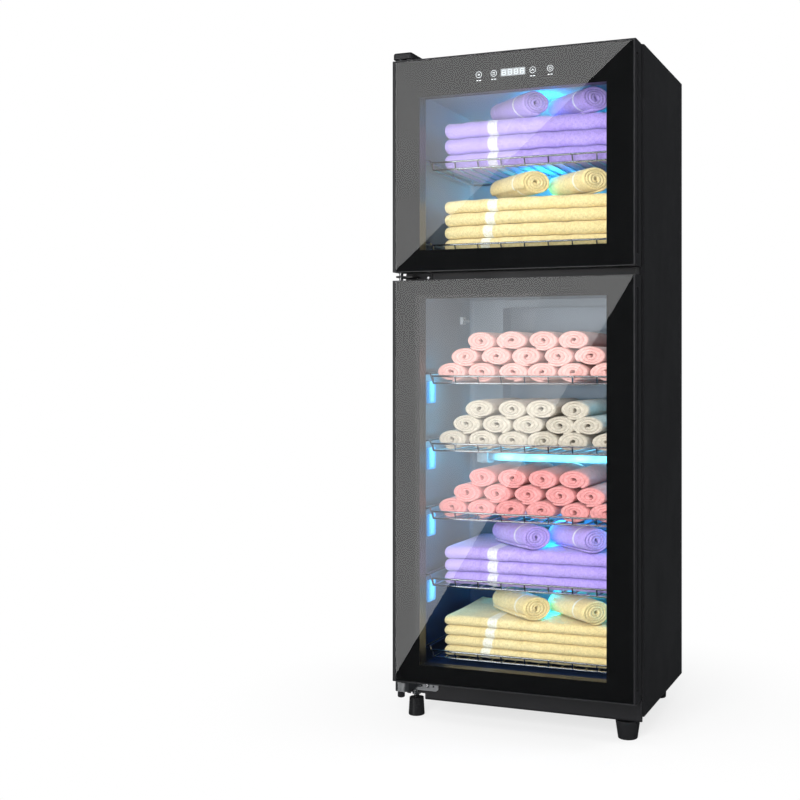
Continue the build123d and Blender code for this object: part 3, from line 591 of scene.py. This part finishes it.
def stacks_of(node):
    """The boxes of a load's separate solids, from its mesh's loose islands, as (low, high) arrays."""
    mesh = NODES[node].data
    points = np.empty(len(mesh.vertices) * 3)
    mesh.vertices.foreach_get("co", points)
    points = points.reshape(-1, 3)
    label = np.unique(np.round(points, 6), axis=0, return_inverse=True)[1].ravel()
    edges = np.empty(len(mesh.edges) * 2, int)
    mesh.edges.foreach_get("vertices", edges)
    edges = label[edges].reshape(-1, 2)
    root = np.arange(label.max() + 1)
    while True:
        before = root.copy()
        np.minimum.at(root, edges[:, 0], root[edges[:, 1]])
        np.minimum.at(root, edges[:, 1], root[edges[:, 0]])
        root = root[root]
        if (root == before).all():
            break
    island = root[label]
    return [(points[island == i].min(0), points[island == i].max(0)) for i in np.unique(island)]


def is_flat(box):
    return box[1][0] - box[0][0] > 0.3


def put_pyramid(tray, slot):
    """Rolled towels in rows, lying in the hollows of the row below."""
    boxes = sorted(stacks_of("towels_" + tray), key=lambda b: (round(b[0][2], 3), b[0][0]))
    for number, (low, high) in enumerate(boxes):
        size = high - low
        centre = (low + high) / 2
        centre += (RANDOM.uniform(-0.001, 0.001), RANDOM.uniform(-0.003, 0.003), 0)
        wide, high_now = size[0] * RANDOM.uniform(1.10, 1.15), size[2] * RANDOM.uniform(1.0, 1.05)
        put_roll(f"roll_{tray}_{number:02d}", centre, (wide, high_now, size[1]), RANDOM.uniform(-0.02, 0.02),
                 RANDOM.uniform(0.02, 0.22), tray + "_slide", slot, NO_BAND, tray)


def fold_path(front, back, low, ply):
    """A twice-folded cloth seen from its end: along the bottom to the front, round it, back over the top,
    round the back and in again between those two layers."""
    front_turn, back_turn = front + 2 * ply, back - ply
    half_turn = np.linspace(-math.pi / 2, math.pi / 2, 11)[1:-1]
    there = np.linspace(back - ply / 2, front_turn, 13)
    again = np.linspace(front_turn, back_turn, 13)
    cos, sin = np.cos(half_turn), np.sin(half_turn)
    legs = [
        (there, np.full(13, 0.5 * ply)),
        (front_turn - 1.5 * ply * cos, 2 * ply + 1.5 * ply * sin),
        (again, np.full(13, 3.5 * ply)),
        (back_turn + 0.5 * ply * cos, 3 * ply - 0.5 * ply * sin),
        (again[::-1], np.full(13, 2.5 * ply)),
        (front_turn - 0.5 * ply * cos, 2 * ply - 0.5 * ply * sin),
        (there[::-1], np.full(13, 1.5 * ply)),
    ]
    return np.stack([np.concatenate([y for y, _ in legs]), low + np.concatenate([z for _, z in legs])], 1)


def fold_shape(low, ply, half, waves, lean):
    """How a folded towel strays from a flat one: outer plies stop short at the sides, and the layer sags in
    slow waves and bows forward unevenly."""
    def shape(path, across, length):
        off_middle = np.abs(path[:, 1] - low - 2 * ply) / (2 * ply)
        scale = 1 - 0.007 / half * off_middle ** 2.5
        place = across[None, :] / half
        depth = path[:, :1] / 0.1
        moves = np.zeros((len(path), len(across), 3))
        swell = sum(size * np.sin(a * place + b * depth + c) for size, a, b, c in waves)
        moves[..., 1] = 0.05 * swell - 0.0012 * np.abs(place) ** 4
        bow = 0.002 * place ** 6 - 0.0016 * np.cos(2.6 * place)
        moves[..., 0] = lean * np.sin(1.7 * place + 4 * lean / MM) + bow
        return scale, moves
    return shape


def put_stack(tray, slot):
    """Folded towels in a stack, each with its stripe, under two short rolls turned to the front right."""
    boxes = stacks_of("towels_" + tray)
    flats = sorted((b for b in boxes if is_flat(b)), key=lambda b: b[0][2])
    waves = random_waves(3, 0.012)
    body, below = tray + "_slide", tray
    for number, (low, high) in enumerate(flats):
        ply = (high[2] - low[2] + 0.2 * MM) / 4
        half = (high[0] - low[0]) / 2
        stripe_at = -0.071 - (0.005 * (len(flats) - 1 - number) if slot == "cream_terry" else 0.0)
        path = fold_path(low[1], high[1], low[2], ply)
        outline = cloth_outline(2 * half, ply * PLY_GAP, 27)
        shape = fold_shape(low[2], ply, half, waves, RANDOM.uniform(-1.4, 1.4) * MM)
        name = f"folded_{tray}_{number}"
        put_cloth(name, path, np.ones(len(path)), outline, ((low[0] + high[0]) / 2, 0, 0),
                  ((0, 1, 0), (0, 0, 1), (1, 0, 0)), shape, body, slot,
                  (stripe_at, STRIPE_HALF, 0.0001), tray)
        below = name
    top = flats[-1][1][2]
    rolls = sorted((b for b in boxes if not is_flat(b)), key=lambda b: b[0][0])
    wide, high, long = TOP_ROLL
    for number, (low, _) in enumerate(rolls):
        middle = (low + rolls[number][1]) / 2
        centre = (middle[0], middle[1], top + high / 2 + 0.0006)
        put_roll(f"top_roll_{tray}_{number}", centre, TOP_ROLL, TOP_ROLL_TURN, 0.0, body, slot,
                 (long / 2 - 0.036, 0.0024, 0.033), tray, rows=120, cols=15)
    GAPS.append((rolls[1][0][0] - 0.004, (rolls[0][0][1] + rolls[0][1][1]) / 2 + 0.035, top + 0.036))


LOADS = {
    "upper_tray_1": "lavender_terry", "upper_tray_2": "cream_terry", "lower_tray_1": "pink_terry",
    "lower_tray_2": "beige_terry", "lower_tray_3": "rose_terry", "lower_tray_4": "lavender_terry",
    "lower_tray_5": "cream_terry",
}
for tray_name, terry in LOADS.items():
    if any(is_flat(b) for b in stacks_of("towels_" + tray_name)):
        put_stack(tray_name, terry)
    else:
        put_pyramid(tray_name, terry)


# ------------------------------------------------- lamp modules, print and marks

def pillow(low, high, square=0.16, steps=18):
    """A softened box between two corners: a globe whose sines and cosines are raised to a small power, so
    that it fills its box, with the poles up and down."""
    turn = np.linspace(-math.pi, math.pi, 2 * steps, endpoint=False)
    tilt = np.linspace(-math.pi / 2, math.pi / 2, steps + 2)[1:-1]
    power = lambda v: np.sign(v) * np.abs(v) ** square
    unit = np.stack([
        np.outer(power(np.cos(tilt)), power(np.cos(turn))),
        np.outer(power(np.cos(tilt)), power(np.sin(turn))),
        np.outer(power(np.sin(tilt)), np.ones_like(turn)),
    ], -1)
    low, high = np.array(low), np.array(high)
    return (low + high) / 2 + unit * (high - low) / 2


def put_lamp_modules():
    """The potted lamp modules, each a softened block. Its UV runs from -1 to 1 across it and from 0 at
    its foot to 1 at its top."""
    for number, (low, high) in enumerate(stacks_of("led_modules")):
        points = pillow(low, high)
        rows, cols = points.shape[:2]
        quads, corner_row, corner_col = grid(rows, cols, closed_cols=True)
        wide_axis = int(high[1] - low[1] > high[0] - low[0])
        off_middle = (points[..., wide_axis] - (low + high)[wide_axis] / 2) / (high - low)[wide_axis] * 2
        maps = {"cloth": np.stack([off_middle[corner_row, corner_col % cols], corner_row / (rows - 1)], -1)}
        ring = list(range(cols))
        caps = [ring[::-1], [(rows - 1) * cols + i for i in ring]]
        piece = put(f"lamp_module_{number:02d}", points, quads, "cabinet",
                    FINISHES["led_potting"], caps, maps)
        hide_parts("led_modules")


def frame_ring(outer, inner, near, far):
    """A flat ring between two rectangles, given as (left, right, low, high), with a thin square section."""
    def corners(box, y):
        left, right, low, high = box
        return [(left, y, low), (right, y, low), (right, y, high), (left, y, high)]
    return np.array([corners(outer, near), corners(inner, near), corners(inner, far), corners(outer, far)]
                    ).transpose(1, 0, 2)


def put_print(door, above, below):
    """The black border printed on the back of a door's glass."""
    low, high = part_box(door + "_glass")
    skin = 0.06 * MM
    outer = (low.x + 0.3 * MM, high.x - 0.3 * MM, low.z + 0.3 * MM, high.z - 0.3 * MM)
    inner = (low.x + 49 * MM, high.x - 51 * MM, low.z + below, high.z - above)
    points = frame_ring(outer, inner, high.y + 0.08 * MM, high.y + 0.08 * MM + skin)
    quads, _, _ = grid(4, 4, closed_rows=True, closed_cols=True)
    put(door + "_print", points, quads, door, PRINT, smooth=False)


def put_plates(name, outlines, material, y):
    """Thin flat plates from outlines of equal length, given as (plate, corner, x or z)."""
    outlines = np.asarray(outlines, float)
    count, corners = outlines.shape[:2]
    area = (outlines[:, :, 0] * np.roll(outlines[:, :, 1], -1, 1)
            - np.roll(outlines[:, :, 0], -1, 1) * outlines[:, :, 1]).sum(1)
    outlines = np.where((area > 0)[:, None, None], outlines, outlines[:, ::-1])
    layers = [np.insert(outlines, 1, y + step, axis=2) for step in (0.0, 0.03 * MM)]
    points = np.stack(layers, 1)
    index = np.arange(count * 2 * corners).reshape(count, 2, corners)
    front, back = index[:, 0], index[:, 1]
    quads = np.stack([front, back, np.roll(back, -1, 1), np.roll(front, -1, 1)], -1).reshape(-1, 4)
    caps = [*front.tolist(), *back[:, ::-1].tolist()]
    faces = [*quads[:, ::-1].tolist(), *caps]
    mesh = bpy.data.meshes.new(name)
    mesh.from_pydata(points.reshape(-1, 3).tolist(), [], faces)
    mesh.materials.append(material)
    piece = bpy.data.objects.new(name, mesh)
    bpy.context.scene.collection.objects.link(piece)
    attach(piece, "upper_door")
    return piece


def bar(x0, z0, x1, z1, wide):
    """The outline of a straight stroke with pointed ends, as six corners."""
    start, end = np.array([x0, z0]), np.array([x1, z1])
    along = (end - start) / np.linalg.norm(end - start)
    side = np.array([-along[1], along[0]]) * wide / 2
    tip = along * wide / 2
    return np.array([start, start + tip + side, end - tip + side, end, end - tip - side, start + tip - side])


def arc_bars(x, z, radius, wide, start=0.0, sweep=2 * math.pi, count=24):
    """Short strokes round a circle or part of it."""
    angle = start + np.linspace(0, sweep, count + 1)
    px, pz = x + radius * np.cos(angle), z + radius * np.sin(angle)
    return [bar(px[i], pz[i], px[i + 1], pz[i + 1], wide) for i in range(count)]


def seven_segments(x, z, wide, high, stroke):
    """The seven strokes of a digit whose middle is at (x, z)."""
    left, right, half, gap = x - wide / 2, x + wide / 2, high / 2, 0.12 * stroke
    level = [bar(left + gap, z + k * half, right - gap, z + k * half, stroke) for k in (-1, 0, 1)]
    upright = [bar(side, z + k * gap, side, z + k * (half - gap), stroke)
               for side in (left, right) for k in (-1, 1)]
    return level + upright


def put_marks():
    """The four keys, with a plain dash in place of each legend, and the display's lit window and digits."""
    glass_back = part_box("upper_door_glass")[1].y
    low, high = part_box("digit_display")
    level, stroke = (low.z + high.z) / 2, 0.7 * MM
    keys = [-62.5 * MM, -32.4 * MM, 44.4 * MM, 78.2 * MM]
    strokes = []
    for number, x in enumerate(keys):
        strokes += arc_bars(x, level, 5.6 * MM, stroke)
        strokes += [bar(x - 5 * MM, level - 11 * MM, x - 0.6 * MM, level - 11 * MM, 1.2 * MM),
                    bar(x + 0.6 * MM, level - 11 * MM, x + 5 * MM, level - 11 * MM, 1.2 * MM)]
        if number == 0:
            strokes += arc_bars(x, level, 1.4 * MM, 1.2 * MM, count=8)
        elif number == 1:
            strokes += [bar(x - 2.6 * MM, level + k, x + 2.6 * MM, level + k, 0.8 * MM)
                        for k in (-1.4 * MM, 1.4 * MM)]
        elif number == 2:
            strokes += [bar(x - 2.4 * MM, level - 1.6 * MM, x, level + 1.8 * MM, 0.8 * MM),
                        bar(x, level + 1.8 * MM, x + 2.4 * MM, level - 1.6 * MM, 0.8 * MM)]
        else:
            strokes += arc_bars(x, level, 2.4 * MM, 0.8 * MM, start=2.2, sweep=5.0, count=12)
            strokes.append(bar(x, level + 0.5 * MM, x, level + 3.2 * MM, 0.8 * MM))
    put_plates("key_marks", strokes, LIT_WHITE, glass_back + 0.02 * MM)
    window = [[(low.x, low.z), (high.x, low.z), (high.x, high.z), (low.x, high.z)]]
    put_plates("display_window", window, FINISHES["display_face"], glass_back + 0.045 * MM)
    digits = []
    step = (high.x - low.x) / 4
    for i in range(4):
        digits += seven_segments(low.x + step * (i + 0.5), level, 0.55 * step, 0.62 * (high.z - low.z),
                                 0.9 * MM)
    put_plates("display_digits", digits, LIT_DIGIT, glass_back + 0.01 * MM)


put_lamp_modules()
put_print("upper_door", 70 * MM, 40 * MM)
put_print("lower_door", 35 * MM, 34 * MM)
put_marks()


# ---------------------------------------------------------- camera, floor, light

def put_camera():
    """The camera stands to the right of the middle at half height, and looks level."""
    camera = bpy.data.objects.new("camera", bpy.data.cameras.new("camera"))
    camera.location = (0.757, FRONT_Y - 2.074, FLOOR_Z + 0.687)
    camera.rotation_euler = (math.pi / 2, 0, math.radians(20.5))
    camera.data.lens, camera.data.sensor_width = 53.61, 36.0
    camera.data.shift_x, camera.data.shift_y = -0.125, -0.0425
    bpy.context.scene.collection.objects.link(camera)
    bpy.context.scene.camera = camera
    return camera


def put_floor():
    """A wide pale floor that fades into the white backdrop away from the cabinet."""
    reach, rows, cols = 9.0, 10, 64
    radius = np.linspace(0.02, 1, rows) ** 1.5 * reach
    angle = np.linspace(0, 2 * math.pi, cols, endpoint=False)
    points = np.stack([np.outer(radius, np.cos(angle)), np.outer(radius, np.sin(angle)),
                       np.full((rows, cols), FLOOR_Z - 0.0005)], -1).reshape(-1, 3)
    quads, _, _ = grid(rows, cols, closed_cols=True)
    mesh = bpy.data.meshes.new("floor")
    mesh.from_pydata(points.tolist(), [], [*quads.tolist(), list(range(cols))])
    material, tree, shader, output = start_material("floor")
    away = add(tree, "ShaderNodeVectorMath", {"operation": "LENGTH"})
    tree.links.new(object_place(tree), away.inputs[0])
    shader.inputs["Base Color"].default_value = (0.9, 0.9, 0.9, 1)
    shader.inputs["Roughness"].default_value = 0.9
    shader.inputs["Specular IOR Level"].default_value = 0.0
    white = add(tree, "ShaderNodeEmission", Color=(1, 1, 1, 1), Strength=1.0)
    seen = add(tree, "ShaderNodeLightPath").outputs["Is Camera Ray"]
    fade = spread(tree, away.outputs["Value"], 0.1, 0.75, 0.72, 1.0)
    mixed = add(tree, "ShaderNodeMixShader")
    wire(tree, calc(tree, "MULTIPLY", fade, seen), mixed.inputs[0])
    tree.links.new(shader.outputs[0], mixed.inputs[1])
    tree.links.new(white.outputs[0], mixed.inputs[2])
    tree.links.new(mixed.outputs[0], output.inputs["Surface"])
    mesh.materials.append(material)
    floor = bpy.data.objects.new("floor", mesh)
    floor.visible_glossy = False
    bpy.context.scene.collection.objects.link(floor)


def put_world():
    """White behind the object as the camera sees it, and a dim even light on it."""
    world = bpy.data.worlds.new("studio")
    bpy.context.scene.world = world
    world.use_nodes = True
    tree = world.node_tree
    tree.nodes.clear()
    seen = add(tree, "ShaderNodeLightPath").outputs["Is Camera Ray"]
    colour = blend_colour(tree, seen, (0.055, 0.058, 0.062, 1), (1, 1, 1, 1))
    background = add(tree, "ShaderNodeBackground", Color=colour, Strength=1.0)
    output = add(tree, "ShaderNodeOutputWorld")
    tree.links.new(background.outputs[0], output.inputs["Surface"])


def put_area(name, place, target, size, power, colour=(1, 1, 1)):
    """A soft rectangular lamp that doesn't mirror in the glass."""
    light = bpy.data.lights.new(name, "AREA")
    light.shape = "RECTANGLE"
    light.size, light.size_y = size
    light.energy = power
    light.color = colour
    lamp = bpy.data.objects.new(name, light)
    lamp.location = place
    lamp.rotation_euler = (Vector(target) - Vector(place)).to_track_quat("-Z", "Y").to_euler()
    lamp.visible_glossy = False
    lamp.visible_camera = False
    bpy.context.scene.collection.objects.link(lamp)


def put_glow(name, place, power, radius=0.012, colour=(0.10, 0.66, 1.0)):
    """A small lamp inside the cabinet that doesn't show itself."""
    light = bpy.data.lights.new(name, "POINT")
    light.energy = power
    light.color = colour
    light.shadow_soft_size = radius
    lamp = bpy.data.objects.new(name, light)
    lamp.location = place
    lamp.visible_glossy = False
    lamp.visible_camera = False
    bpy.context.scene.collection.objects.link(lamp)


def put_lights():
    high = cad_box[1].z
    put_area("front_softbox", (0.15, FRONT_Y - 2.0, 1.0), (0, 0, 0.62), (1.3, 1.5), 72.0)
    put_area("upper_front", (-0.4, FRONT_Y - 1.2, high + 1.1), (0, 0, 0.8), (1.2, 0.8), 14.0)
    put_area("right_upper", (1.9, 0.35, high + 0.7), (0.24, 0.05, 1.1), (0.9, 0.9), 22.0)
    put_area("left_fill", (-1.9, -0.3, 1.0), (-0.24, 0, 0.6), (0.9, 1.6), 9.0)
    put_area("back_fill", (0.3, 2.2, 1.5), (0, 0.2, 0.6), (1.4, 1.4), 16.0)
    for number, (low, top) in enumerate(stacks_of("led_modules")):
        middle = (low + top) / 2
        inward = -math.copysign(0.03, middle[0]) if abs(middle[0]) > 0.1 else 0.0
        forward = 0.0 if inward else -0.03
        put_glow(f"module_glow_{number:02d}", (middle[0] + inward, middle[1] + forward, top[2] - 0.008),
                 0.10 if inward else 0.16)
    for number, (low, top) in enumerate(stacks_of("uv_tubes")):
        middle = (low + top) / 2
        for share in (-0.7, -0.25, 0.25, 0.7):
            put_glow(f"tube_glow_{number}_{share}", (share * top[0], middle[1] - 0.02, middle[2]), 0.09)


def put_gap_glows():
    """The rear lamp modules' light where it comes through between the two rolls on top of each stack."""
    for number, place in enumerate(GAPS):
        put_glow(f"gap_glow_{number}", place, 0.42, radius=0.016, colour=(0.02, 0.62, 1.0))


def put_cards(camera):
    """Bright cards that only reflections see. Each is the upper left half of a door, carried out along the
    lines by which the camera sees it mirrored in the glass. A faint one covers part of the lower window."""
    eye = np.array([camera.location.x, 2 * FRONT_Y - camera.location.y, camera.location.z])
    cards = {"upper": (3.1, 3.2), "lower": (3.1, 3.2), "faint": (0.6, 3.1)}
    corners = {
        "upper": [(0.265, 1.298), (0.265, 1.34), (-0.28, 1.34), (-0.28, 0.8302)],
        "lower": [(0.243, 0.860), (-0.28, 0.860), (-0.28, 0.0178)],
        "faint": [(0.064, 0.822), (-0.191, 0.822), (-0.191, 0.161), (-0.0465, 0.3937)],
    }
    for name, outline in corners.items():
        strength, away = cards[name]
        material = bpy.data.materials.new(name + "_card")
        material.use_nodes = True
        tree = material.node_tree
        tree.nodes.clear()
        emission = add(tree, "ShaderNodeEmission", Color=(1, 1, 1, 1), Strength=strength)
        clear = add(tree, "ShaderNodeBsdfTransparent")
        both = add(tree, "ShaderNodeAddShader")
        tree.links.new(emission.outputs[0], both.inputs[0])
        tree.links.new(clear.outputs[0], both.inputs[1])
        tree.links.new(both.outputs[0], add(tree, "ShaderNodeOutputMaterial").inputs["Surface"])
        on_glass = np.array([(x, FRONT_Y, z + FLOOR_Z) for x, z in outline])
        points = eye + (on_glass - eye) * ((FRONT_Y - away - eye[1]) / (FRONT_Y - eye[1]))
        mesh = bpy.data.meshes.new(name + "_card")
        mesh.from_pydata(points.tolist(), [], [list(range(len(points)))])
        mesh.materials.append(material)
        card = bpy.data.objects.new(name + "_card", mesh)
        card.visible_camera = card.visible_diffuse = card.visible_shadow = False
        card.visible_transmission = card.visible_volume_scatter = False
        bpy.context.scene.collection.objects.link(card)


bpy.context.scene.view_settings.view_transform = "Standard"
put_floor()
put_world()
put_lights()
put_gap_glows()
put_cards(put_camera())
